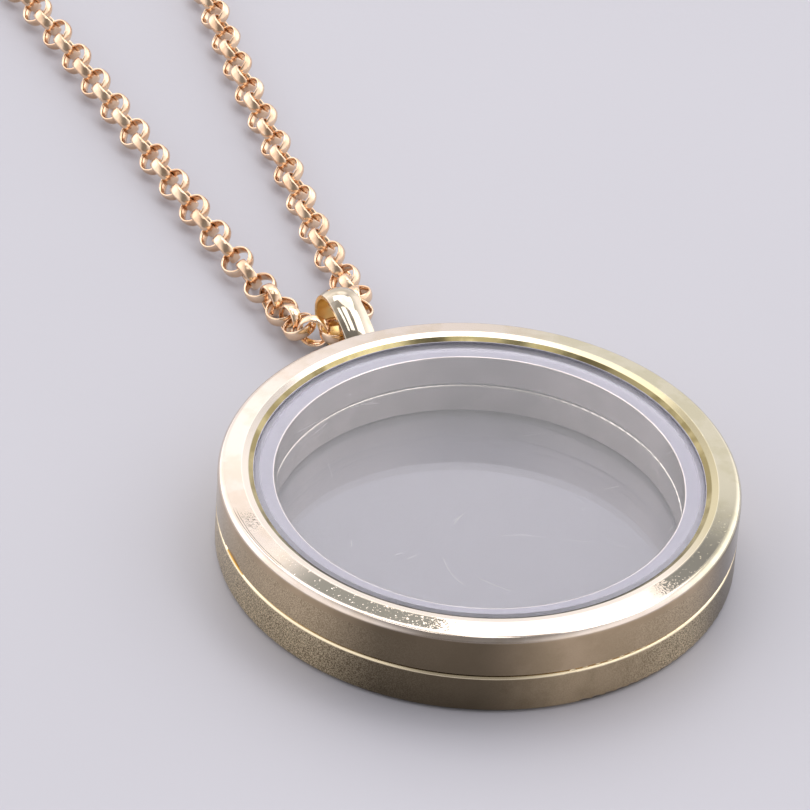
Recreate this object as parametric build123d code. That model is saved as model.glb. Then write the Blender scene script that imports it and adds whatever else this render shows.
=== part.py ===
"""A round glass locket lying on its back, hinged at one side, on a rolo chain necklace.

Lengths are in millimetres. The origin is the centre of the locket's back face, on the
surface that it lies on. +Z is up, out of the front window, +Y runs to the bail and the
chain, and +X to the hinge. The magnets that close it are at -X, under the nail nick.
"""
from build123d import *
import math
import os

# Case: two metal rings that meet at a seam
case_diameter = 30.0
case_thickness = 5.4
rim_width = 2.05
ledge_width = 1.2
seam_height = 2.6
seam_gap = 0.08
rim_drop = 0.18
shoulder_round = 0.45
base_round = 0.4
pocket_mouth_round = 0.1
ledge_round = 0.06
seam_round_front = 0.08
seam_round_back = 0.2

# Front lip, from the glass outwards: a slope, then a flatter bevel up to the rim
lip_slope_width = 0.3
lip_slope_height = 0.18
lip_bevel_width = 0.4
lip_bevel_height = 0.08
lip_round = 0.12

# Glass discs, each in a pocket cut into the outer face of its ring
glass_gap = 0.03
glass_bevel_width = 0.3
glass_bevel_height = 0.14
glass_edge_round = 0.03
front_glass_thickness = 0.5
back_glass_thickness = 0.6
back_glass_recess = 0.1

# Hinge, let into the wall at +X
hinge_inset = 0.45
barrel_diameter = 1.5
barrel_length = 5.4
middle_knuckle_length = 1.8
knuckle_gap = 0.1
pin_diameter = 0.64
pin_clearance = 0.03
opening_angle = 100.0
relief_spare_angle = 4.0

# Magnets in blind pockets at -X, and the nick that a nail opens the case by
magnet_diameter = 1.8
magnet_thickness = 1.0
magnet_gap = 0.03
nick_length = 2.4
nick_height = 0.2
nick_depth = 0.35
nick_end_round = 0.16

# Eyelet: a U of wire soldered to the back ring, lying flat
eyelet_wire = 0.72
eyelet_radius = 2.1
eyelet_reach = 3.75
eyelet_height = 1.25
eyelet_root = 0.7

# Bail: a crowned strap bent to a drop shape that bulges on top, wide end away from the
# case. It has swung a little to the left round the eyelet
bail_width = 1.95
bail_thickness = 0.5
bail_edge_thickness = 0.24
bail_corner_round = 0.07
bail_wide_radius = 1.35
bail_narrow_radius = 0.58
bail_bow_radius = 7.0
bail_length = 2.8
bail_gap = 0.06
bail_swing = 5.0

# Chain: a solid as wide as its links, that follows their line from one side of the
# clasp, through the bail, to the clasp's other side. Y counts from the middle of the
# bail's wide end, and heights from the surface
chain_width = 2.05
chain_lie = chain_width / 2
chain_route = [
    (-22.5, 213.5, chain_lie),
    (-39.0, 193.5, chain_lie),
    (-45.5, 166.0, chain_lie),
    (-39.5, 135.5, chain_lie),
    (-26.0, 104.0, chain_lie),
    (-13.0, 71.5, chain_lie),
    (-7.2, 45.0, chain_lie),
    (-5.45, 24.0, chain_lie),
    (-4.5, 12.5, chain_lie),
    (-3.75, 6.5, chain_lie),
    (-3.2, 3.4, chain_lie),
    (-2.95, 1.3, 1.25),
    (-1.95, -0.25, 1.6),
    (-0.25, -0.7, 1.72),
    (1.5, -0.1, 1.6),
    (2.3, 1.8, 1.25),
    (2.1, 4.3, chain_lie),
    (1.6, 8.7, chain_lie),
    (2.4, 17.0, chain_lie),
    (3.7, 32.0, chain_lie),
    (7.6, 59.0, chain_lie),
    (19.0, 90.0, chain_lie),
    (33.5, 120.0, chain_lie),
    (43.6, 150.5, chain_lie),
    (43.0, 179.5, chain_lie),
    (34.0, 201.0, chain_lie),
    (20.5, 213.5, chain_lie),
]
arc_share = 0.45

# Clasp: one closed piece, with an eye for each end of the chain
clasp_length = 12.0
clasp_width = 4.6
clasp_height = chain_width
clasp_bar_height = 0.9
clasp_bar_width = 0.62
clasp_eye_diameter = 2.5
clasp_body_length = 5.4
clasp_slot_length = 5.2
clasp_slot_width = 2.2
clasp_corner = 0.4
clasp_end_gap = 0.3
clasp_middle = (2.0, 217.0)

case_radius = case_diameter / 2
pocket_radius = case_radius - rim_width
window_radius = pocket_radius - ledge_width
seam_front = seam_height + seam_gap / 2
seam_back = seam_height - seam_gap / 2
slope_radius = pocket_radius + lip_slope_width
bevel_radius = slope_radius + lip_bevel_width
slope_top = case_thickness - lip_bevel_height
front_glass_top = slope_top - lip_slope_height
front_glass_low = front_glass_top - front_glass_thickness
front_ledge = front_glass_low - glass_gap
back_glass_top = back_glass_recess + back_glass_thickness
back_ledge = back_glass_top + glass_gap

hinge_x = case_radius - hinge_inset
barrel_radius = barrel_diameter / 2
pin_radius = pin_diameter / 2
half_barrel = barrel_length / 2
half_knuckle = middle_knuckle_length / 2
magnet_x = -(window_radius + case_radius) / 2
magnet_radius = magnet_diameter / 2

eyelet_front = case_radius + eyelet_reach
eyelet_bend_y = eyelet_front - eyelet_wire / 2 - eyelet_radius
eyelet_inside = eyelet_radius - eyelet_wire / 2
bail_near_y = eyelet_bend_y + math.sqrt(eyelet_inside**2 - (bail_width / 2) ** 2) - bail_gap
narrow_y = bail_near_y + bail_narrow_radius
wide_y = narrow_y + bail_length
wide_z = bail_wide_radius + bail_thickness

clasp_x, clasp_y = clasp_middle
clasp_reach = clasp_length / 2 + clasp_end_gap
chain_start = (clasp_x - clasp_reach, clasp_y, chain_lie)
chain_end = (clasp_x + clasp_reach, clasp_y, chain_lie)


def turned(rows):
    """Turns an outline about the case's axis. Rows: radius, height, corner round."""
    outline = FilletPolyline(
        *[(radius, height) for radius, height, corner in rows],
        radius=[corner for radius, height, corner in rows],
        close=True,
    )
    return revolve(Plane.XZ * make_face(outline), Axis.Z)


def along_y(radius, start, end, grow=0.0):
    """A cylinder on the hinge's axis, from one Y to another."""
    length = end - start
    return (
        Pos(hinge_x, (start + end) / 2, seam_height)
        * Rot(X=90)
        * Cylinder(radius + grow, length)
    )


def outer_knuckle_spans(margin):
    """The two stretches of the barrel that belong to the back ring."""
    inner = half_knuckle + knuckle_gap - margin
    outer = half_barrel + margin
    return [(-outer, -inner), (inner, outer)]


def hinge_relief():
    """The wedge outside the hinge's axis that both rings leave free, so the lid can swing."""
    reach = hinge_inset + barrel_radius
    rise = reach * math.tan(math.radians(opening_angle / 2 + relief_spare_angle / 2))
    wedge = Polyline(
        (hinge_x, seam_height),
        (hinge_x + reach, seam_height + rise),
        (hinge_x + reach, seam_height - rise),
        close=True,
    )
    chord = 2 * math.sqrt(case_radius**2 - hinge_x**2) + 2 * barrel_radius
    return extrude(Plane.XZ * make_face(wedge), chord / 2, both=True)


def magnet_pocket(face, direction):
    """A blind hole from a seam face into its ring. Direction is +1 up or -1 down."""
    depth = magnet_thickness + 2 * magnet_gap
    middle = face + direction * depth / 2
    return Pos(magnet_x, 0, middle) * Cylinder(magnet_radius + magnet_gap, depth)


def magnet(face, direction):
    middle = face + direction * (magnet_gap + magnet_thickness / 2)
    return Pos(magnet_x, 0, middle) * Cylinder(magnet_radius, magnet_thickness)


def front_ring():
    ring = turned(
        [
            (window_radius, seam_front, seam_round_front),
            (window_radius, front_ledge, ledge_round),
            (pocket_radius, front_ledge, 0),
            (pocket_radius, front_glass_top, 0),
            (slope_radius, slope_top, lip_round),
            (bevel_radius, case_thickness, lip_round),
            (case_radius, case_thickness - rim_drop, shoulder_round),
            (case_radius, seam_front, seam_round_front),
        ]
    )
    ring -= hinge_relief()
    for start, end in outer_knuckle_spans(knuckle_gap):
        ring -= along_y(barrel_radius, start, end, knuckle_gap)
    ring += along_y(barrel_radius, -half_knuckle, half_knuckle)
    ring -= along_y(pin_radius, -half_barrel, half_barrel, pin_clearance)
    ring -= magnet_pocket(seam_front, 1)
    nick = Box(2 * nick_depth, nick_length, 2 * nick_height)
    nick = fillet(nick.edges().filter_by(Axis.X), nick_end_round)
    ring -= Pos(-case_radius, 0, seam_front) * nick
    return ring


def back_ring():
    ring = turned(
        [
            (window_radius, seam_back, seam_round_front),
            (window_radius, back_ledge, ledge_round),
            (pocket_radius, back_ledge, 0),
            (pocket_radius, 0, pocket_mouth_round),
            (case_radius, 0, base_round),
            (case_radius, seam_back, seam_round_back),
        ]
    )
    ring -= hinge_relief()
    middle = half_knuckle + knuckle_gap
    ring -= along_y(barrel_radius, -middle, middle, knuckle_gap)
    for start, end in outer_knuckle_spans(0):
        ring += along_y(barrel_radius, start, end)
    ring -= along_y(pin_radius, -half_barrel, half_barrel, pin_clearance)
    ring -= magnet_pocket(seam_back, -1)
    ring += eyelet()
    return ring


def eyelet():
    root_y = case_radius - eyelet_root
    right = (eyelet_radius, eyelet_bend_y, eyelet_height)
    front = (0, eyelet_bend_y + eyelet_radius, eyelet_height)
    left = (-eyelet_radius, eyelet_bend_y, eyelet_height)
    right_leg = Line((eyelet_radius, root_y, eyelet_height), right)
    bend = ThreePointArc(right, front, left)
    left_leg = Line(left, (-eyelet_radius, root_y, eyelet_height))
    path = Wire([right_leg.edge(), bend.edge(), left_leg.edge()])
    start = Plane(origin=path @ 0, z_dir=path % 0)
    return sweep(start * Circle(eyelet_wire / 2), path=path)


def glass_disc(inner_face, outer_face, bevel_foot):
    """A disc between two heights, with a bevel from its outer face to its edge."""
    radius = pocket_radius - glass_gap
    return turned(
        [
            (0, inner_face, 0),
            (radius, inner_face, glass_edge_round),
            (radius, bevel_foot, glass_edge_round),
            (radius - glass_bevel_width, outer_face, glass_edge_round),
            (0, outer_face, 0),
        ]
    )


def hinge_pin():
    return along_y(pin_radius, -half_barrel, half_barrel)


def bail_section():
    """The strap's section: flat inside, crowned outside. X is its width, Y points outwards."""
    half = bail_width / 2
    crown = ThreePointArc(
        (half, bail_edge_thickness), (0, bail_thickness), (-half, bail_edge_thickness)
    )
    rest = Polyline(
        (-half, bail_edge_thickness), (-half, 0), (half, 0), (half, bail_edge_thickness)
    )
    face = make_face([crown.edge(), *rest.edges()])
    return fillet(face.vertices(), bail_corner_round)


def bail():
    """Two round ends, a bow over them and a straight stretch below, swept with one section."""
    rise = wide_z - eyelet_height
    span = math.hypot(bail_length, rise)
    lean = math.degrees(math.atan2(rise, bail_length))
    touch = math.degrees(math.acos((bail_narrow_radius - bail_wide_radius) / span))
    full_turn = 360
    section = bail_section()

    to_narrow = bail_bow_radius - bail_narrow_radius
    to_wide = bail_bow_radius - bail_wide_radius
    spread = math.degrees(
        math.acos((to_narrow**2 + span**2 - to_wide**2) / (2 * to_narrow * span))
    )
    down = math.radians(lean - spread)
    bow_y = narrow_y + to_narrow * math.cos(down)
    bow_z = eyelet_height + to_narrow * math.sin(down)
    bow_first = math.degrees(math.atan2(wide_z - bow_z, wide_y - bow_y))
    bow_last = math.degrees(math.atan2(eyelet_height - bow_z, narrow_y - bow_y))

    def turn(centre_y, centre_z, radius, first, last):
        outward = Vector(0, math.cos(math.radians(first)), math.sin(math.radians(first)))
        base = Vector(0, centre_y, centre_z)
        across = Vector(-1, 0, 0)
        start = Plane(base + outward * radius, x_dir=across, z_dir=across.cross(outward))
        return revolve(start * section, Axis(base, (1, 0, 0)), last - first)

    def underside():
        angle = math.radians(lean - touch)
        outward = Vector(0, math.cos(angle), math.sin(angle))
        start = Vector(0, narrow_y, eyelet_height) + outward * bail_narrow_radius
        end = Vector(0, wide_y, wide_z) + outward * bail_wide_radius
        run = end - start
        along = run.normalized()
        plane = Plane(start, x_dir=outward.cross(along), z_dir=along)
        return extrude(plane * section, run.length)

    wide_end = turn(wide_y, wide_z, bail_wide_radius, lean - touch, bow_first)
    bow = turn(bow_y, bow_z, bail_bow_radius, bow_first, bow_last)
    narrow_end = turn(
        narrow_y, eyelet_height, bail_narrow_radius, bow_last, lean + full_turn - touch
    )
    drop = wide_end + bow + narrow_end + underside()
    return Pos(0, eyelet_bend_y) * Rot(Z=bail_swing) * Pos(0, -eyelet_bend_y) * drop


def corner_radii(points, share):
    """The largest arc that each corner's two runs allow."""
    radii = []
    for before, corner, after in zip(points, points[1:], points[2:]):
        into = Vector(*corner) - Vector(*before)
        out = Vector(*after) - Vector(*corner)
        half_turn = math.radians(into.get_angle(out)) / 2
        radii.append(share * min(into.length, out.length) / math.tan(half_turn))
    return radii


def chain():
    points = [chain_start, *chain_route, chain_end]
    radii = corner_radii(points, arc_share)
    print("chain radii", [round(radius, 1) for radius in radii])
    path = Pos(0, wide_y, 0) * FilletPolyline(*points, radius=radii).wire()
    start = Plane(origin=path @ 0, z_dir=path % 0)
    tube = sweep(start * Circle(chain_width / 2), path=path)
    expected = math.pi * (chain_width / 2) ** 2 * path.length
    print("chain length", round(path.length, 1), "volume share", round(tube.volume / expected, 4))
    return tube


def clasp():
    """A thick middle on a thin closed bar, with a round eye at one end and a loop at the other."""
    loop_length = clasp_length - clasp_eye_diameter + clasp_bar_width
    loop_x = (clasp_length - loop_length) / 2
    eye_x = -(clasp_length - clasp_eye_diameter) / 2
    slot_x = clasp_length / 2 - clasp_bar_width - clasp_slot_length / 2
    eye_hole = clasp_eye_diameter - 2 * clasp_bar_width
    outline = Pos(loop_x, 0) * SlotOverall(loop_length, clasp_width)
    outline += Pos(eye_x, 0) * Circle(clasp_eye_diameter / 2)
    piece = extrude(outline, clasp_bar_height / 2, both=True)
    body = Pos(loop_x, 0) * SlotOverall(clasp_body_length, clasp_width)
    body = extrude(body, clasp_height / 2, both=True)
    piece += chamfer(body.faces().filter_by(Axis.Z).edges(), clasp_corner)
    holes = Pos(slot_x, 0) * SlotOverall(clasp_slot_length, clasp_slot_width)
    holes += Pos(eye_x, 0) * Circle(eye_hole / 2)
    piece -= extrude(holes, clasp_height, both=True)
    return Pos(clasp_x, wide_y + clasp_y, chain_lie) * piece


nodes = {
    "back_frame": back_ring(),
    "front_frame": front_ring(),
    "back_glass": glass_disc(
        back_glass_top, back_glass_recess, back_glass_recess + glass_bevel_height
    ),
    "front_glass": glass_disc(
        front_glass_low, front_glass_top, front_glass_top - glass_bevel_height
    ),
    "hinge_pin": hinge_pin(),
    "back_magnet": magnet(seam_back, -1),
    "front_magnet": magnet(seam_front, 1),
    "bail": bail(),
    "chain": chain(),
    "clasp": clasp(),
}

os.makedirs("parts", exist_ok=True)
for name, shape in nodes.items():
    export_step(shape, f"parts/{name}.step")
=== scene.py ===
"""A round glass locket lying on its back on a pale floor, threaded on a rolo chain necklace.

Lengths are in metres unless a comment says mm. +Z is up, +Y runs to the bail and the chain,
+X to the hinge.
"""

import math

import bpy
from mathutils import Matrix, Vector


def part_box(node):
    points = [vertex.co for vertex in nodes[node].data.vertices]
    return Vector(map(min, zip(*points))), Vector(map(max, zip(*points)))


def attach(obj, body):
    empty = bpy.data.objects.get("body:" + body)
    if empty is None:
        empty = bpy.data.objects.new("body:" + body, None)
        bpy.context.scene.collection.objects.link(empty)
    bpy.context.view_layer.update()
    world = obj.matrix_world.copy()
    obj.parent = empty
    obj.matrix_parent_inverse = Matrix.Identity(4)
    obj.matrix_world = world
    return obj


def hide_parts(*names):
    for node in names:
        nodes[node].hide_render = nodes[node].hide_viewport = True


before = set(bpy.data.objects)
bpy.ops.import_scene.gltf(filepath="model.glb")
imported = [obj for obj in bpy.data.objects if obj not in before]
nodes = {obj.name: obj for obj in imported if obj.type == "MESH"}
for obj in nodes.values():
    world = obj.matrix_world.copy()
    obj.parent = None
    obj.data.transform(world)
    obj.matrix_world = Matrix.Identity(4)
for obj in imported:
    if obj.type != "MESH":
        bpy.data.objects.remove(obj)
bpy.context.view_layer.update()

MM = 0.001

# Camera: where it looks, from which side, and its sensor and lens in mm
LOOK_AT = Vector((1.104, 13.868, 0.0)) * MM
VIEW_AZIMUTH = math.radians(-23.63)
VIEW_ELEVATION = math.radians(36.5)
VIEW_ROLL = math.radians(3.83)
VIEW_DISTANCE = 300 * MM
NEAREST_SEEN = 10 * MM
FURTHEST_SEEN = 10.0
SENSOR_WIDTH = 36.0
LENS = 222.8

VIEW_RIGHT = Vector((math.cos(VIEW_AZIMUTH), math.sin(VIEW_AZIMUTH), 0))
VIEW_AWAY = Vector((-math.sin(VIEW_AZIMUTH), math.cos(VIEW_AZIMUTH), 0))
UP = Vector((0, 0, 1))

# Lamps: the key lamp behind the locket, then strips over it with their lean to the right in
# degrees and their width. Radiance is what a mirror shows of a lamp.
LAMP_DISTANCE = 900 * MM
KEY_ELEVATION = 62
KEY_SIZE = (750 * MM, 420 * MM)
KEY_RADIANCE = 1.75
KEY_COLOUR = (1.0, 0.985, 0.965)
CEILING_STRIPS = [
    ("strip_right", 27, 330 * MM),
    ("strip_middle", 1, 190 * MM),
    ("strip_left", -13, 80 * MM),
]
STRIP_LENGTH = 400 * MM
STRIP_RADIANCE = 2.0
STRIP_COLOUR = (1.0, 1.0, 1.0)

# Light all round: its strength everywhere, and what is added behind and low down behind
EVEN_LIGHT = 0.27
LIGHT_BEHIND = 0.42
LIGHT_LOW_BEHIND = 0.35
# Where the light behind and at the sides begins and is full, as the cosine of the angle from
# straight behind and straight sideways, and where the low light does, in degrees up
BEHIND_SPREAD = (-0.25, 0.45)
SIDES_SPREAD = (0.20, 0.80)
LOW_SPREAD = (46, 30)
# Glows in it: azimuth, elevation, outer and inner reach in degrees, and strength
GLOWS = [(-14, 42, 24, 8, 0.45), (0, 37, 14, 4, 0.55)]
AIR_COLOUR = (1.0, 0.98, 0.99, 1.0)

FLOOR_HALF_WIDTH = 1500 * MM

# Case: its sizes, as its two rings have them
CASE_RADIUS = 15.0 * MM
POCKET_RADIUS = 12.95 * MM
LIP_RADIUS = 13.25 * MM
BEVEL_RADIUS = 13.65 * MM
WINDOW_RADIUS = 11.75 * MM
GLASS_SLOPE_RADIUS = 12.62 * MM
SEAM_HEIGHT = 2.6 * MM
SHOULDER_ROUND = 0.45 * MM
SHOULDER_CENTRE = (14.55 * MM, 4.826 * MM)
RIM_TILT = math.atan2(0.18, 1.35)
SEAM_ROUND = 0.2 * MM
SEAM_ROUND_CENTRE = (14.8 * MM, 2.36 * MM)
# Heights between which the walls' sanding fades, and the wall's look turns into the rim's
SANDED_TO = 4.4 * MM
PLAIN_FROM = 4.6 * MM
WALL_TO = 4.9 * MM
RIM_FROM = 5.05 * MM

# Wear of the case, in degrees round it from +X. Dull patches of the rim: the sharp end, where
# the patch is fully dull, and where it has faded out.
DULL_PATCHES = [(-121.0, -146.0, -177.0), (-66.0, -54.0, -20.0)]
# How far the sharp end wanders and how soft it is, in radians
DULL_END_WANDER = 0.30
DULL_END_BLUR = 0.01
# Bright specks in a patch: where in the fine noise they begin, how much sooner they do by the
# sharp end, and where they are full
SPECKS_FROM = 0.66
SPECKS_SOONER = 0.14
SPECKS_FULL = 0.68
# Painted shade on the walls, standing in for the shaded floor they reflect in front: the middle of
# each stretch, the reach to both sides, and the share of the reach where the shade is full
PAINTED_SHADE_STRETCHES = [(-122.0, 32.0), (-33.0, 28.0)]
PAINTED_SHADE_CORE = 0.3
# The walls are least sanded at one angle. Pairs run from where a wear is least to where it
# is full.
UNSANDED_ANGLE = -100.0
SANDED_REACH = (14, 40)
LEAST_GRAINY = 0.1
SANDED_OVER_SEAM = 0.4
SANDED_MORE_UNDER_SEAM = 0.45
SCUFF_ANGLE = -178.5
SCUFF_REACH = (5.2, 1.6)
SCUFF_RADII = (14.62 * MM, 14.30 * MM)
SCUFF_LINES = (0.060, 0.010)
SCRATCH_ANGLE = -172.0
SCRATCH_REACH = (13, 9)
SCRATCH_RADIUS = 14.56 * MM
SCRATCH_HALF_WIDTHS = (0.022 * MM, 0.010 * MM)
NICK_ANGLE = -179.0
NICK_HALF_ANGLE = 4.8
NICK_HEIGHT = 0.46 * MM
# The rim's colour turns greenish between these places along x, which wander by this much
GREENISH_SPREAD = (8 * MM, 15 * MM)
GREENISH_WANDER = 6 * MM
# Roughness of the case's plating, and what clouds, sanding, the glass ledge and wear add
PLATING_ROUGH = 0.07
CLOUDS_ROUGHER = 0.10
SANDED_ROUGHER = 0.18
LEDGE_ROUGHER = 0.48
DULL_ROUGHER = 0.22

# The middle of the bail's opening, which tells its inside from its outside
BAIL_HEART = Vector((-0.3, 19.75, 1.65)) * MM

# Links: round, of a flat, slightly domed wire, each turned about a quarter from the last
LINK_RADIUS = 0.93 * MM
LINK_HALF_THICKNESS = 0.115 * MM
LINK_HALF_WIDTH = 0.34 * MM
LINK_SQUARENESS = 0.95
TAUT_PITCH = 1.59 * MM
# Sides of a link's ring and of its wire, and how far back the links are seen close
NEAR_LINK_SIDES = (48, 14)
FAR_LINK_SIDES = (30, 10)
SEEN_DEPTH = 75 * MM

# The chain's line in mm. Y counts from the middle of the bail's wide end, and CHAIN_LIE is
# the height of the line where the chain lies on the floor.
BAIL_END_TO_MIDDLE = 1.668
CHAIN_LIE = 1.04
CHAIN_START = (-3.2, 216.82, CHAIN_LIE)
CHAIN_END = (7.2, 216.82, CHAIN_LIE)
CHAIN_ROUTE = [
    (-22.5, 213.5, CHAIN_LIE),
    (-39.0, 193.5, CHAIN_LIE),
    (-45.5, 166.0, CHAIN_LIE),
    (-39.5, 135.5, CHAIN_LIE),
    (-26.0, 104.0, CHAIN_LIE),
    (-13.0, 71.5, CHAIN_LIE),
    (-7.2, 45.0, CHAIN_LIE),
    (-5.45, 24.0, CHAIN_LIE),
    (-4.5, 12.5, CHAIN_LIE),
    (-3.75, 6.5, CHAIN_LIE),
    (-3.3, 3.4, CHAIN_LIE),
    (-2.91, 1.01, 1.0),
    (-2.89, -0.32, 1.58),
    (-0.65, -1.24, 1.26),
    (0.46, -0.62, 1.96),
    (1.3, 1.37, 1.7),
    (1.75, 2.67, CHAIN_LIE),
    (1.6, 8.7, CHAIN_LIE),
    (2.58, 17.0, CHAIN_LIE),
    (3.7, 32.0, CHAIN_LIE),
    (7.6, 59.0, CHAIN_LIE),
    (19.0, 90.0, CHAIN_LIE),
    (33.5, 120.0, CHAIN_LIE),
    (43.6, 150.5, CHAIN_LIE),
    (43.0, 179.5, CHAIN_LIE),
    (34.0, 201.0, CHAIN_LIE),
    (20.5, 213.5, CHAIN_LIE),
]
# Steps of the curve between two points of the route
CURVE_STEPS = 48

# Links counted from the one in the bail: pitch to the next joint in mm, and the link's roll
# about the chain's line and turn across it in degrees. Past the last row they are taut, keep
# the far roll, and level out over the last few links before the clasp.
BAIL_LINK_AT = Vector((-0.96, 20.21, 1.45)) * MM
BAIL_LINK_TURNS = (0.0, 0.0)
FAR_LEFT_ROLL = 42.0
TO_LEFT = [
    (1.20, 0.68, 1.78),
    (1.14, 21.08, 0.0),
    (0.98, -1.91, 0.0),
    (1.26, 16.65, 0.0),
    (1.37, 5.69, 0.0),
    (1.51, 24.0, 0.0),
    *[(1.53, min(24.0 + 4.0 * i, FAR_LEFT_ROLL), 0.0) for i in range(1, 11)],
]
FAR_RIGHT_ROLL = -42.0
TO_RIGHT = [
    (1.16, -3.3, -10.44),
    (1.04, 15.33, 0.0),
    (1.22, -16.2, 0.0),
    (1.05, -9.03, 0.0),
    (1.12, -34.5, 0.0),
    (1.03, -42.5, 0.0),
    (1.32, FAR_RIGHT_ROLL, 0.0),
]
LINKS_TO_LEVEL = 6


def rgb(red, green, blue):
    """A colour as a screen shows it, 0 to 255, in the linear values that a shader takes."""
    def linear(value):
        share = value / 255
        return share / 12.92 if share <= 0.04045 else ((share + 0.055) / 1.055) ** 2.4

    return (linear(red), linear(green), linear(blue), 1.0)


# Cloudy tones: where in the clouds, 0 to 1, the first tone ends and the second one begins,
# then both tones
# The walls' tones are the rim's plating darkened as painted shade, standing in for the shaded
# floor the walls reflect; the cloudy change between the two tones is the plating's own
UPPER_WALL_TONES = (0.35, 0.65, rgb(188, 167, 136), rgb(200, 178, 147))
LOWER_WALL_TONES = (0.35, 0.65, rgb(170, 151, 122), rgb(188, 169, 139))
SANDED_TONES = (0.38, 0.62, rgb(128, 113, 88), rgb(244, 227, 191))
ROSY_TONES = (0.4, 0.62, rgb(224, 211, 200), rgb(217, 202, 187))
GREENISH_TONES = (0.4, 0.62, rgb(213, 206, 184), rgb(204, 197, 171))
# Painted reflection: the lip's dark olive tones stand in for the dark glass and chamber that the
# inward-facing lip reflects
LIP_PAINTED_REFLECTION_TONES = (0.4, 0.6, rgb(132, 120, 84), rgb(160, 148, 110))
LEDGE_TONES = (0.4, 0.6, rgb(190, 188, 199), rgb(196, 194, 204))
CHAMBER_TONES = (0.35, 0.65, rgb(212, 203, 195), rgb(224, 214, 206))
BAIL_OUTSIDE_TONES = (0.4, 0.6, rgb(200, 187, 166), rgb(212, 200, 182))
# Painted reflection: warmer tones on the strap's inside, standing in for light bouncing inside the
# loop
BAIL_INSIDE_PAINTED_REFLECTION_TONES = (0.4, 0.6, rgb(255, 222, 152), rgb(255, 230, 172))
CHAIN_TONES = (0.38, 0.62, rgb(228, 192, 160), rgb(243, 214, 184))
NICKEL_TONES = (rgb(176, 176, 180), rgb(200, 200, 204))
FLOOR_TONES = (rgb(184, 183, 191), rgb(189, 188, 196))

# Colour of the painted shade on the walls, and how much of it is mixed in
PAINTED_SHADE_COLOUR = rgb(84, 75, 62)
PAINTED_SHADE_SHARE = 0.82
# Painted highlight along the lower ring's round top edge at the seam
SEAM_PAINTED_HIGHLIGHT = rgb(246, 230, 196)
# Painted highlight on the chamber wall just under the seam
CHAMBER_PAINTED_HIGHLIGHT = rgb(255, 250, 236)
# The bevel's tones: near white at the left as a painted highlight, olive at the right as painted
# shade
BEVEL_LEFT_HIGHLIGHT = rgb(244, 233, 221)
BEVEL_RIGHT_SHADE = rgb(178, 168, 138)
DULL_PLATING = rgb(112, 109, 101)
MARKS = rgb(112, 103, 92)
GILDED_NICK = rgb(186, 144, 76)
GLASS_TINT = (0.975, 0.97, 1.0, 1.0)
GLASS_IOR = 1.5


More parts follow.
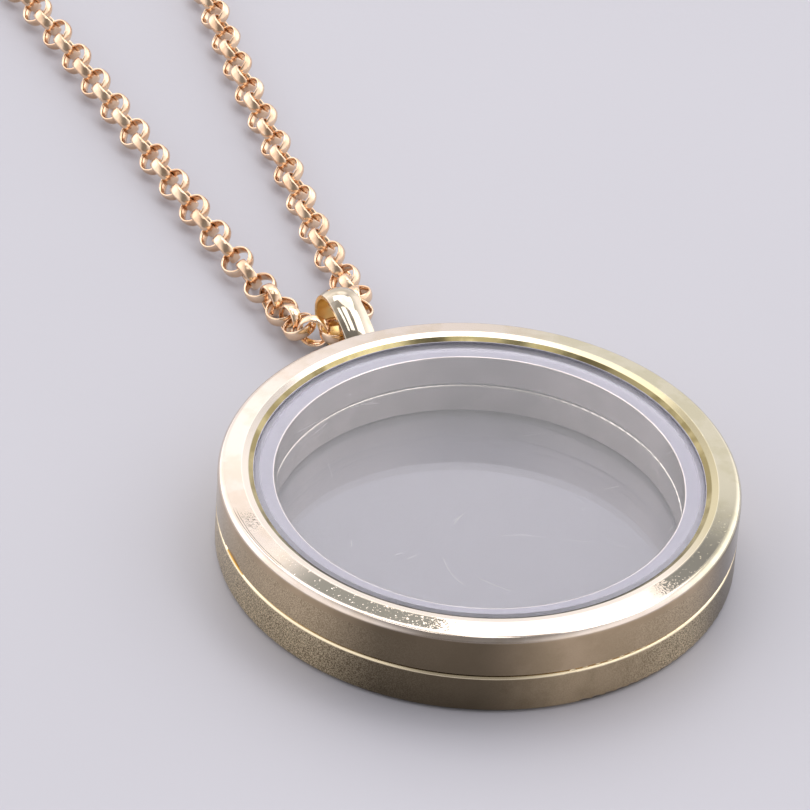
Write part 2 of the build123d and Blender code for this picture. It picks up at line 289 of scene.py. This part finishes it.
class Tree:
    """A node tree, with short calls for the nodes that it is made of."""

    def __init__(self, owner, place="Object"):
        owner.use_nodes = True
        self.nodes = owner.node_tree.nodes
        self.links = owner.node_tree.links
        source = self.nodes.new("ShaderNodeTexCoord")
        self.place = source.outputs[place]
        self.normal = source.outputs["Normal"]

    def join(self, socket, value):
        if isinstance(value, bpy.types.NodeSocket):
            self.links.new(value, socket)
        else:
            socket.default_value = value

    def math(self, operation, *values):
        node = self.nodes.new("ShaderNodeMath")
        node.operation = operation
        for socket, value in zip(node.inputs, values):
            self.join(socket, value)
        return node.outputs[0]

    def vector(self, operation, *values):
        node = self.nodes.new("ShaderNodeVectorMath")
        node.operation = operation
        for socket, value in zip(node.inputs, values):
            self.join(socket, value)
        return node.outputs["Value" if operation in ("LENGTH", "DOT_PRODUCT") else "Vector"]

    def split(self, vector):
        node = self.nodes.new("ShaderNodeSeparateXYZ")
        self.links.new(vector, node.inputs[0])
        return node.outputs

    def from_axis(self):
        """How far the place lies from the locket's upright axis."""
        return self.vector("LENGTH", self.vector("MULTIPLY", self.place, (1, 1, 0)))

    def product(self, first, *others):
        for other in others:
            first = self.math("MULTIPLY", first, other)
        return first

    def scaled(self, value, factor, start):
        """Start, and the value times the factor on top of it."""
        return self.math("MULTIPLY_ADD", value, factor, start)

    def rest_of(self, share):
        return self.math("SUBTRACT", 1.0, share)

    def gap(self, first, second):
        return self.math("ABSOLUTE", self.math("SUBTRACT", first, second))

    def clamp(self, value, low, high):
        return self.math("MINIMUM", self.math("MAXIMUM", value, low), high)

    def ramp(self, value, low, high):
        """A smooth step of value, 0 at low and 1 at high."""
        node = self.nodes.new("ShaderNodeMapRange")
        node.interpolation_type = "SMOOTHSTEP"
        for name, given in (("Value", value), ("From Min", low), ("From Max", high)):
            self.join(node.inputs[name], given)
        return node.outputs[0]

    def above(self, value, edge, blur):
        """1 above the edge and 0 below it, with a soft change."""
        return self.ramp(value, edge - blur, edge + blur)

    def below(self, value, edge, blur):
        """1 below the edge and 0 above it, with a soft change."""
        return self.ramp(value, edge + blur, edge - blur)

    def angle_ramp(self, angle, low, high):
        """A smooth step of an angle, with its ends in degrees."""
        return self.ramp(angle, math.radians(low), math.radians(high))

    def mix(self, share, first, second):
        node = self.nodes.new("ShaderNodeMix")
        node.data_type = "RGBA"
        self.join(node.inputs[0], share)
        self.join(node.inputs[6], first)
        self.join(node.inputs[7], second)
        return node.outputs[2]

    def cloudy(self, cloud, low, high, first, second):
        """The first tone where the clouds are low, and the second where they are high."""
        return self.mix(self.ramp(cloud, low, high), first, second)

    def noise(self, size, detail=2.0, roughness=0.5):
        """Cloudy noise whose features are about this long."""
        node = self.nodes.new("ShaderNodeTexNoise")
        self.links.new(self.place, node.inputs["Vector"])
        node.inputs["Scale"].default_value = 1 / size
        node.inputs["Detail"].default_value = detail
        node.inputs["Roughness"].default_value = roughness
        return node.outputs[0]

    def cells(self, size):
        """Distance to the nearest of scattered points about this far apart, as a share of it."""
        node = self.nodes.new("ShaderNodeTexVoronoi")
        self.links.new(self.place, node.inputs["Vector"])
        node.inputs["Scale"].default_value = 1 / size
        return node.outputs["Distance"]

    def world_normal(self, vector):
        node = self.nodes.new("ShaderNodeVectorTransform")
        node.vector_type, node.convert_from, node.convert_to = "NORMAL", "OBJECT", "WORLD"
        self.links.new(vector, node.inputs[0])
        return node.outputs[0]

    def bump(self, height, depth, strength=1.0, under=None):
        """A relief this deep, for a height from 0 to 1, on top of the one under it."""
        node = self.nodes.new("ShaderNodeBump")
        node.inputs["Strength"].default_value = strength
        node.inputs["Distance"].default_value = depth
        self.links.new(height, node.inputs["Height"])
        if under is not None:
            self.links.new(under, node.inputs["Normal"])
        return node.outputs[0]


class Finish(Tree):
    """A material made of one shader."""

    def __init__(self, name):
        self.material = bpy.data.materials.new(name)
        super().__init__(self.material)
        self.shader = self.nodes["Principled BSDF"]

    def done(self, colour, rough, **others):
        self.join(self.shader.inputs["Base Color"], colour)
        self.join(self.shader.inputs["Roughness"], rough)
        for name, value in others.items():
            self.join(self.shader.inputs[name.replace("_", " ")], value)
        return self.material


class CaseGold(Finish):
    """The case's worn gold. The place on the case's profile decides its look."""

    def __init__(self):
        super().__init__("case_gold")
        self.x, y, self.z = self.split(self.place)
        self.radius = self.from_axis()
        self.angle = self.math("ARCTAN2", y, self.x)
        self.cloud = self.noise(2.2 * MM, detail=3.0, roughness=0.6)
        self.fine = self.noise(0.16 * MM, roughness=0.6)
        self.find_profile()
        self.find_sanding()

    def away_from(self, degrees):
        """The angle round the case from this one, whichever way round is shorter."""
        gap = self.math("SUBTRACT", self.angle, math.radians(degrees))
        return self.math("ABSOLUTE", self.math("WRAP", gap, math.pi, -math.pi))

    def find_profile(self):
        """How far, from 0 to 1, a point belongs to each part of the profile."""
        z, radius = self.z, self.radius
        self.on_top = self.ramp(z, WALL_TO, RIM_FROM)
        lip = self.below(radius, LIP_RADIUS, blur=0.03 * MM)
        self.lip = self.product(self.on_top, lip)
        bevel = self.below(radius, BEVEL_RADIUS - 0.01 * MM, blur=0.03 * MM)
        self.bevel = self.product(self.on_top, bevel)
        self.flat = self.product(
            self.on_top,
            self.above(radius, BEVEL_RADIUS + 0.04 * MM, blur=0.06 * MM),
            self.below(radius, CASE_RADIUS - 0.42 * MM, blur=0.06 * MM),
        )
        self.inside = self.below(radius, POCKET_RADIUS + 0.02 * MM, blur=0.01 * MM)
        self.chamber = self.below(radius, WINDOW_RADIUS + 0.08 * MM, blur=0.04 * MM)
        self.outside = self.ramp(radius, POCKET_RADIUS + 0.3 * MM, CASE_RADIUS - 0.2 * MM)
        self.lower = self.below(z, SEAM_HEIGHT, blur=0.02 * MM)
        seam_edge = self.above(z, SEAM_HEIGHT - 0.21 * MM, blur=0.03 * MM)
        self.seam_edge = self.product(self.lower, seam_edge)

    def find_sanding(self):
        """How sanded the walls are: most below the seam, and least near one angle."""
        away = self.angle_ramp(self.away_from(UNSANDED_ANGLE), *SANDED_REACH)
        self.grainy = self.scaled(away, 1 - LEAST_GRAINY, LEAST_GRAINY)
        walls = self.ramp(self.z, PLAIN_FROM, SANDED_TO)
        walls = self.product(walls, self.rest_of(self.seam_edge))
        level = self.scaled(self.lower, SANDED_MORE_UNDER_SEAM, SANDED_OVER_SEAM)
        self.sanding = self.product(self.grainy, walls, level)

    def wall_colour(self):
        # Wall tones darker than the rim's: painted shade, with the plating's own cloudy change
        upper = self.cloudy(self.cloud, *UPPER_WALL_TONES)
        lower = self.cloudy(self.cloud, *LOWER_WALL_TONES)
        sanded = self.cloudy(self.noise(0.075 * MM, roughness=0.6), *SANDED_TONES)
        colour = self.mix(self.lower, upper, lower)
        colour = self.mix(self.sanding, colour, sanded)
        # Painted shade: darker stretches round the walls, standing in for the shaded floor they
        # reflect
        painted_shade = 0.0
        for middle, reach in PAINTED_SHADE_STRETCHES:
            near = self.angle_ramp(self.away_from(middle), reach, PAINTED_SHADE_CORE * reach)
            painted_shade = self.math("MAXIMUM", painted_shade, near)
        painted_shade = self.product(painted_shade, self.outside, PAINTED_SHADE_SHARE)
        colour = self.mix(painted_shade, colour, PAINTED_SHADE_COLOUR)
        # Painted highlight along the seam's round edge
        return self.mix(self.seam_edge, colour, SEAM_PAINTED_HIGHLIGHT)

    def rim_colour(self, wall):
        """The rim over the walls, rosy at the left and greenish at the right."""
        broad = self.noise(9 * MM, detail=1.0)
        to_right = self.ramp(self.scaled(broad, GREENISH_WANDER, self.x), *GREENISH_SPREAD)
        rosy = self.cloudy(self.cloud, *ROSY_TONES)
        greenish = self.cloudy(self.cloud, *GREENISH_TONES)
        # Painted highlight and painted shade on the bevel, from left to right
        bevel = self.mix(to_right, BEVEL_LEFT_HIGHLIGHT, BEVEL_RIGHT_SHADE)
        colour = self.mix(self.on_top, wall, self.mix(to_right, rosy, greenish))
        colour = self.mix(self.bevel, colour, bevel)
        # The lip gets its painted reflection tones
        return self.mix(self.lip, colour, self.cloudy(self.cloud, *LIP_PAINTED_REFLECTION_TONES))

    def inside_colour(self):
        ledge = self.cloudy(self.cloud, *LEDGE_TONES)
        chamber = self.cloudy(self.cloud, *CHAMBER_TONES)
        # Painted highlight: a pale band on the chamber wall just under the seam
        edge = self.above(self.z, SEAM_HEIGHT - 0.145 * MM, blur=0.015 * MM)
        chamber = self.mix(self.product(self.lower, edge), chamber, CHAMBER_PAINTED_HIGHLIGHT)
        return self.mix(self.chamber, ledge, chamber)

    def dull_share(self):
        """Dull patches with speckled ends on the rim's flat."""
        specks = self.noise(0.10 * MM, detail=1.0)
        ragged = self.scaled(self.math("SUBTRACT", specks, 0.5), DULL_END_WANDER, self.angle)
        dull = 0.0
        for sharp, full, gone in DULL_PATCHES:
            fade = self.angle_ramp(self.angle, gone, full)
            near_end = self.angle_ramp(self.angle, full, sharp)
            past_end = self.math("SUBTRACT", ragged, math.radians(sharp))
            blur = math.copysign(DULL_END_BLUR, full - sharp)
            patch = self.product(fade, self.ramp(past_end, -blur, blur))
            bright_from = self.scaled(near_end, -SPECKS_SOONER, SPECKS_FROM)
            bright = self.product(fade, self.ramp(self.fine, bright_from, SPECKS_FULL))
            dull = self.math("MAXIMUM", dull, self.math("SUBTRACT", patch, bright))
        return self.product(self.flat, self.ramp(dull, 0.0, 1.0))

    def marks_share(self):
        """A small scuffed patch on the rim's flat, and two long scratches that wander."""
        scuff = self.product(
            self.flat,
            self.ramp(self.gap(self.noise(0.13 * MM, roughness=0.6), 0.5), *SCUFF_LINES),
            self.angle_ramp(self.away_from(SCUFF_ANGLE), *SCUFF_REACH),
            self.ramp(self.radius, *SCUFF_RADII),
        )
        half_apart = self.scaled(self.noise(1.5 * MM, detail=3.0), 0.14 * MM, -0.01 * MM)
        from_middle = self.gap(self.radius, SCRATCH_RADIUS)
        scratches = self.product(
            self.on_top,
            self.ramp(self.gap(from_middle, half_apart), *SCRATCH_HALF_WIDTHS),
            self.angle_ramp(self.away_from(SCRATCH_ANGLE), *SCRATCH_REACH),
        )
        return self.math("MAXIMUM", scuff, scratches)

    def nick_share(self):
        """The gilded nick: a slot over the seam, and the lower ring's edge under it."""
        angle = self.math("DIVIDE", self.away_from(NICK_ANGLE), math.radians(NICK_HALF_ANGLE))
        reach = self.math("POWER", angle, 2.0)
        brim = self.scaled(reach, -NICK_HEIGHT, SEAM_HEIGHT + NICK_HEIGHT)
        slot = self.product(
            self.outside,
            self.below(self.math("SUBTRACT", self.z, brim), 0.0, blur=0.03 * MM),
            self.ramp(self.z, SEAM_HEIGHT, SEAM_HEIGHT + 0.03 * MM),
        )
        under = self.product(
            self.seam_edge,
            self.below(self.radius, CASE_RADIUS - 0.05 * MM, blur=0.02 * MM),
            self.above(self.radius, CASE_RADIUS - 0.415 * MM, blur=0.035 * MM),
            self.ramp(reach, 1.0, 0.9),
            self.outside,
        )
        return self.math("MAXIMUM", slot, under)

    def roughness(self, dull):
        rough = self.scaled(self.cloud, CLOUDS_ROUGHER, PLATING_ROUGH)
        sanded = self.product(self.lower, self.outside, self.grainy)
        rough = self.scaled(sanded, SANDED_ROUGHER, rough)
        ledge = self.product(self.inside, self.rest_of(self.chamber))
        rough = self.scaled(ledge, LEDGE_ROUGHER, rough)
        return self.scaled(dull, DULL_ROUGHER, rough)

    def relief(self, worn):
        """Pits of the sanding, slight waves, a fine grain, then the worn plating."""
        pits = self.ramp(self.cells(0.18 * MM), 0.0, 0.5)
        pits = self.product(self.sanding, self.outside, pits)
        waves = self.noise(0.7 * MM, detail=1.0)
        grain = self.product(self.fine, self.outside)
        normal = self.smooth_normal()
        normal = self.bump(pits, depth=0.008 * MM, strength=0.7, under=normal)
        normal = self.bump(waves, depth=0.0012 * MM, under=normal)
        normal = self.bump(grain, depth=0.001 * MM, strength=0.6, under=normal)
        return self.bump(worn, depth=0.003 * MM, strength=0.8, under=normal)

    def smooth_normal(self):
        """The true normal of the walls, rim and round edges, where the mesh agrees with it."""
        def from_centre(centre, least_out, most_out, most_up):
            out = self.clamp(self.math("SUBTRACT", self.radius, centre[0]), least_out, most_out)
            rise = self.clamp(self.math("SUBTRACT", self.z, centre[1]), 0.0, most_up)
            return out, rise

        def picked(high, low):
            return self.math("ADD", high, self.product(lower, self.math("SUBTRACT", low, high)))

        out_high, rise_high = from_centre(
            SHOULDER_CENTRE,
            SHOULDER_ROUND * math.sin(RIM_TILT),
            SHOULDER_ROUND,
            SHOULDER_ROUND * math.cos(RIM_TILT),
        )
        out_low, rise_low = from_centre(SEAM_ROUND_CENTRE, 0.0, SEAM_ROUND, SEAM_ROUND)
        lower = self.math("GREATER_THAN", self.lower, 0.5)
        out = self.math("DIVIDE", picked(out_high, out_low), self.radius)
        outward = self.vector("MULTIPLY", self.vector("MULTIPLY", self.place, (1, 1, 0)), out)
        upward = self.vector("MULTIPLY", (0, 0, 1), picked(rise_high, rise_low))
        true = self.vector("NORMALIZE", self.vector("ADD", outward, upward))
        agreed = self.product(
            self.ramp(self.vector("DOT_PRODUCT", true, self.normal), 0.88, 0.94),
            self.ramp(self.radius, BEVEL_RADIUS + 0.03 * MM, BEVEL_RADIUS + 0.08 * MM),
        )
        change = self.vector("MULTIPLY", self.vector("SUBTRACT", true, self.normal), agreed)
        normal = self.vector("NORMALIZE", self.vector("ADD", self.normal, change))
        return self.world_normal(normal)

    def finished(self):
        dull = self.dull_share()
        marks = self.marks_share()
        outer = self.rim_colour(self.wall_colour())
        colour = self.mix(self.inside, outer, self.inside_colour())
        colour = self.mix(dull, colour, DULL_PLATING)
        colour = self.mix(marks, colour, MARKS)
        colour = self.mix(self.nick_share(), colour, GILDED_NICK)
        normal = self.relief(self.math("ADD", dull, marks))
        return self.done(colour, self.roughness(dull), Metallic=1.0, Normal=normal)


def case_metal():
    return CaseGold().finished()


def bail_metal():
    """Polished gold, rougher on the strap's inside, which faces the heart; the warmer tone there
    is painted reflection of light bouncing inside the gold loop.
    """
    tree = Finish("bail_gold")
    from_heart = tree.vector("SUBTRACT", tree.place, tuple(BAIL_HEART))
    outward = tree.vector("MULTIPLY", from_heart, (0, 1, 1))
    facing_out = tree.vector("DOT_PRODUCT", outward, tree.normal)
    inside = tree.ramp(facing_out, 0.1 * MM, -0.3 * MM)
    cloud = tree.noise(0.8 * MM, detail=3.0)
    outer = tree.cloudy(cloud, *BAIL_OUTSIDE_TONES)
    # Painted reflection: the warmer inside tone
    inner = tree.cloudy(cloud, *BAIL_INSIDE_PAINTED_REFLECTION_TONES)
    rough = tree.scaled(cloud, 0.05, tree.scaled(inside, 0.30, 0.02))
    normal = tree.bump(tree.noise(0.6 * MM, detail=1.0), depth=0.004 * MM)
    normal = tree.bump(tree.noise(0.12 * MM), depth=0.001 * MM, strength=0.5, under=normal)
    return tree.done(tree.mix(inside, outer, inner), rough, Metallic=1.0, Normal=normal)


def chain_metal():
    tree = Finish("chain_gold")
    tone = tree.cloudy(tree.noise(1.3 * MM, detail=3.0, roughness=0.6), *CHAIN_TONES)
    rough = tree.scaled(tree.noise(0.35 * MM), 0.20, 0.06)
    dents = tree.noise(0.28 * MM, roughness=0.6)
    tumbled = tree.bump(dents, depth=0.014 * MM, strength=0.7)
    return tree.done(tone, rough, Metallic=1.0, Normal=tumbled)


def window_glass():
    """Clear glass with a frosted slope at its edge, hairline scratches and dust."""
    tree = Finish("clear_glass")
    frosted = tree.above(tree.from_axis(), GLASS_SLOPE_RADIUS, blur=0.02 * MM)
    arcs = tree.ramp(tree.gap(tree.noise(14 * MM, detail=0.0), 0.5), 0.0009, 0.0003)
    hairlines = tree.product(arcs, tree.ramp(tree.noise(2 * MM), 0.54, 0.62))
    rough = tree.scaled(frosted, 0.40, tree.product(tree.noise(5 * MM), 0.02))
    rough = tree.scaled(hairlines, 0.35, rough)
    dust = tree.ramp(tree.cells(1.7 * MM), 0.034, 0.018)
    return tree.done(GLASS_TINT, rough, Transmission_Weight=tree.rest_of(dust), IOR=GLASS_IOR)


def magnet_metal():
    tree = Finish("magnet_nickel")
    cloud = tree.noise(0.5 * MM)
    return tree.done(tree.mix(cloud, *NICKEL_TONES), tree.scaled(cloud, 0.1, 0.25), Metallic=1.0)


def floor_paint():
    tree = Finish("floor_paint")
    tone = tree.mix(tree.noise(40 * MM), *FLOOR_TONES)
    grain = tree.bump(tree.noise(0.5 * MM), depth=0.02 * MM, strength=0.3)
    return tree.done(tone, 0.45, Normal=grain)


def show(thing):
    """Puts an object in the scene."""
    bpy.context.scene.collection.objects.link(thing)


def chain_line():
    """Points close together along the chain's line, from clasp to clasp."""
    bail_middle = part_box("bail")[1].y / MM - BAIL_END_TO_MIDDLE
    route = [CHAIN_START, *CHAIN_ROUTE, CHAIN_END]
    curve = bpy.data.curves.new("chain_line", "CURVE")
    curve.dimensions = "3D"
    spline = curve.splines.new("NURBS")
    spline.points.add(len(route) - 1)
    for point, (x, y, z) in zip(spline.points, route):
        point.co = (x * MM, (y + bail_middle) * MM, z * MM, 1)
    spline.order_u = 3
    spline.use_endpoint_u = True
    spline.resolution_u = CURVE_STEPS
    holder = bpy.data.objects.new("chain_line", curve)
    show(holder)
    bpy.context.view_layer.update()
    mesh = holder.to_mesh()
    line = [vertex.co.copy() for vertex in mesh.vertices]
    holder.to_mesh_clear()
    bpy.data.objects.remove(holder)
    bpy.data.curves.remove(curve)
    return line


class Line:
    """A line through close points, asked for a place by its distance along it."""

    STEP_CORRECTIONS = 6

    def __init__(self, points):
        self.points = points
        self.lengths = [0.0]
        for before, after in zip(points, points[1:]):
            self.lengths.append(self.lengths[-1] + (after - before).length)

    def at(self, distance):
        distance = min(max(distance, 0.0), self.lengths[-1])
        low, high = 0, len(self.lengths) - 1
        while high - low > 1:
            middle = (low + high) // 2
            if self.lengths[middle] <= distance:
                low = middle
            else:
                high = middle
        share = (distance - self.lengths[low]) / max(self.lengths[high] - self.lengths[low], 1e-12)
        return self.points[low].lerp(self.points[high], share)

    def step(self, distance, pitch):
        """The distance along at which the straight gap from the first place is one pitch."""
        ahead = distance + pitch
        for _ in range(self.STEP_CORRECTIONS):
            gap = (self.at(ahead) - self.at(distance)).length
            ahead += math.copysign(abs(pitch) - gap, pitch)
        return ahead


def link_joints(line):
    """Where each pair of links touches, from clasp to clasp, and each link's roll and turn."""
    nearest = min(range(len(line.points)), key=lambda i: (line.points[i] - BAIL_LINK_AT).length)
    middle = line.lengths[nearest]

    def outward(side, rows, far_roll, end):
        stations, turns = [], []
        place = middle + side * TAUT_PITCH / 2
        for pitch, roll, turn in rows:
            stations.append(place)
            turns.append((roll, turn))
            place = line.step(place, side * pitch * MM)
        left_over = abs(end - place)
        count = math.ceil(left_over / TAUT_PITCH)
        if (count + len(rows)) % 2 == 0:
            count += 1
        stations += [place + side * left_over / count * i for i in range(count + 1)]
        for i in reversed(range(count)):
            turns.append((far_roll * min(i / LINKS_TO_LEVEL, 1.0), 0.0))
        return stations, turns

    left, left_turns = outward(-1, TO_LEFT, FAR_LEFT_ROLL, 0.0)
    right, right_turns = outward(1, TO_RIGHT, FAR_RIGHT_ROLL, line.lengths[-1])
    return left[::-1] + right, [*left_turns[::-1], BAIL_LINK_TURNS, *right_turns]


def link_placements():
    """Each link's place and axes: along the chain, to its side, and through the link's hole."""
    line = Line(chain_line())
    stations, turns = link_joints(line)
    placements = []
    for number, (start, end, (roll, turn)) in enumerate(zip(stations, stations[1:], turns)):
        first, last = line.at(start), line.at(end)
        along = (last - first).normalized()
        upright = (UP - along * UP.dot(along)).normalized()
        along = Matrix.Rotation(math.radians(turn), 3, upright) @ along
        quarter = 90.0 if number % 2 == 0 else 0.0
        through = Matrix.Rotation(math.radians(roll + quarter), 3, along) @ upright
        side = through.cross(along)
        axes = Matrix((along, side, through)).transposed().to_4x4()
        placements.append(Matrix.Translation((first + last) / 2) @ axes)
    return placements


def link_ring(segments, sides):
    """One link about the origin, lying flat: its vertices and its faces' corners."""
    def domed(share, half):
        return math.copysign(abs(share) ** LINK_SQUARENESS, share) * half

    vertices, faces = [], []
    for i in range(segments):
        turn = 2 * math.pi * i / segments
        start, following = i * sides, (i + 1) % segments * sides
        for j in range(sides):
            side = 2 * math.pi * j / sides
            reach = LINK_RADIUS + domed(math.cos(side), LINK_HALF_THICKNESS)
            height = domed(math.sin(side), LINK_HALF_WIDTH)
            vertices.append(Vector((reach * math.cos(turn), reach * math.sin(turn), height)))
            beside = (j + 1) % sides
            faces.append((start + j, following + j, following + beside, start + beside))
    return vertices, faces


def links_mesh(name, placements, segments, sides):
    ring, ring_faces = link_ring(segments, sides)
    vertices, faces = [], []
    for placement in placements:
        start = len(vertices)
        vertices += [placement @ vertex for vertex in ring]
        faces += [tuple(start + corner for corner in face) for face in ring_faces]
    mesh = bpy.data.meshes.new(name)
    mesh.from_pydata(vertices, [], faces)
    mesh.shade_smooth()
    piece = bpy.data.objects.new(name, mesh)
    show(piece)
    return piece


def make_chain(material):
    placements = link_placements()
    near = [place for place in placements if place.translation.y < SEEN_DEPTH]
    far = [place for place in placements if place.translation.y >= SEEN_DEPTH]
    pieces = [
        links_mesh("chain_links_by_locket", near, *NEAR_LINK_SIDES),
        links_mesh("chain_links_by_clasp", far, *FAR_LINK_SIDES),
    ]
    for piece in pieces:
        piece.data.materials.append(material)
        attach(piece, "case")
        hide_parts("chain")


def dress(material, *names):
    """Gives nodes of the frame their finish."""
    for name in names:
        for slot in nodes[name].material_slots:
            slot.material = material


def studio_point(azimuth, elevation, distance):
    """A place round the locket: azimuth 0 is straight away from the camera, + to its right."""
    turn, rise = math.radians(azimuth), math.radians(elevation)
    flat = VIEW_AWAY * math.cos(turn) + VIEW_RIGHT * math.sin(turn)
    return (flat * math.cos(rise) + UP * math.sin(rise)) * distance


def make_lamp(name, place, width, height, radiance, colour):
    """A flat lamp that faces the locket."""
    lamp = bpy.data.lights.new(name, "AREA")
    lamp.shape = "RECTANGLE"
    lamp.size, lamp.size_y = width, height
    lamp.energy = radiance * width * height * math.pi
    lamp.color = colour
    holder = bpy.data.objects.new(name, lamp)
    holder.location = place
    holder.rotation_euler = place.to_track_quat("Z", "Y").to_euler()
    show(holder)


def make_lamps():
    key_place = studio_point(0, KEY_ELEVATION, LAMP_DISTANCE)
    make_lamp("key", key_place, *KEY_SIZE, KEY_RADIANCE, KEY_COLOUR)
    for name, lean, width in CEILING_STRIPS:
        turn = math.radians(lean)
        place = Vector((math.sin(turn), 0, math.cos(turn))) * LAMP_DISTANCE
        make_lamp(name, place, STRIP_LENGTH, width, STRIP_RADIANCE, STRIP_COLOUR)


def make_world():
    """Soft light all round, brighter behind, low down and at both sides, with glows behind."""
    world = bpy.data.worlds.new("studio")
    bpy.context.scene.world = world
    tree = Tree(world, "Generated")

    def facing(direction):
        return tree.vector("DOT_PRODUCT", tree.place, tuple(direction))

    heights = [math.sin(math.radians(elevation)) for elevation in LOW_SPREAD]
    low_down = tree.ramp(tree.split(tree.place)[2], *heights)
    behind = tree.scaled(low_down, LIGHT_LOW_BEHIND, LIGHT_BEHIND)
    behind = tree.product(tree.ramp(facing(VIEW_AWAY), *BEHIND_SPREAD), behind)
    sides = tree.ramp(tree.math("ABSOLUTE", facing(VIEW_RIGHT)), *SIDES_SPREAD)
    light = tree.math("ADD", sides, tree.math("ADD", behind, EVEN_LIGHT))
    for azimuth, elevation, outer, inner, strength in GLOWS:
        near = facing(studio_point(azimuth, elevation, 1.0))
        edges = [math.cos(math.radians(reach)) for reach in (outer, inner)]
        light = tree.scaled(tree.ramp(near, *edges), strength, light)
    background = tree.nodes["Background"]
    background.inputs["Color"].default_value = AIR_COLOUR
    tree.join(background.inputs["Strength"], light)


def make_floor():
    half = FLOOR_HALF_WIDTH
    mesh = bpy.data.meshes.new("floor")
    corners = [(-half, -half, 0), (half, -half, 0), (half, half, 0), (-half, half, 0)]
    mesh.from_pydata(corners, [], [(0, 1, 2, 3)])
    mesh.materials.append(floor_paint())
    floor = bpy.data.objects.new("floor", mesh)
    show(floor)


def make_camera():
    lens = bpy.data.cameras.new("camera")
    lens.sensor_width = SENSOR_WIDTH
    lens.lens = LENS
    lens.clip_start, lens.clip_end = NEAREST_SEEN, FURTHEST_SEEN
    camera = bpy.data.objects.new("camera", lens)
    back = -VIEW_AWAY * math.cos(VIEW_ELEVATION) + UP * math.sin(VIEW_ELEVATION)
    above = back.cross(VIEW_RIGHT)
    right = VIEW_RIGHT * math.cos(VIEW_ROLL) + above * math.sin(VIEW_ROLL)
    top = above * math.cos(VIEW_ROLL) - VIEW_RIGHT * math.sin(VIEW_ROLL)
    axes = Matrix((right, top, back)).transposed().to_4x4()
    camera.matrix_world = Matrix.Translation(LOOK_AT + back * VIEW_DISTANCE) @ axes
    show(camera)
    bpy.context.scene.camera = camera


dress(case_metal(), "back_frame", "front_frame", "hinge_pin")
dress(window_glass(), "back_glass", "front_glass")
dress(magnet_metal(), "back_magnet", "front_magnet")
dress(bail_metal(), "bail")
chain_gold = chain_metal()
dress(chain_gold, "clasp")
make_chain(chain_gold)
make_floor()
make_world()
make_lamps()
make_camera()
bpy.context.scene.view_settings.view_transform = "Standard"
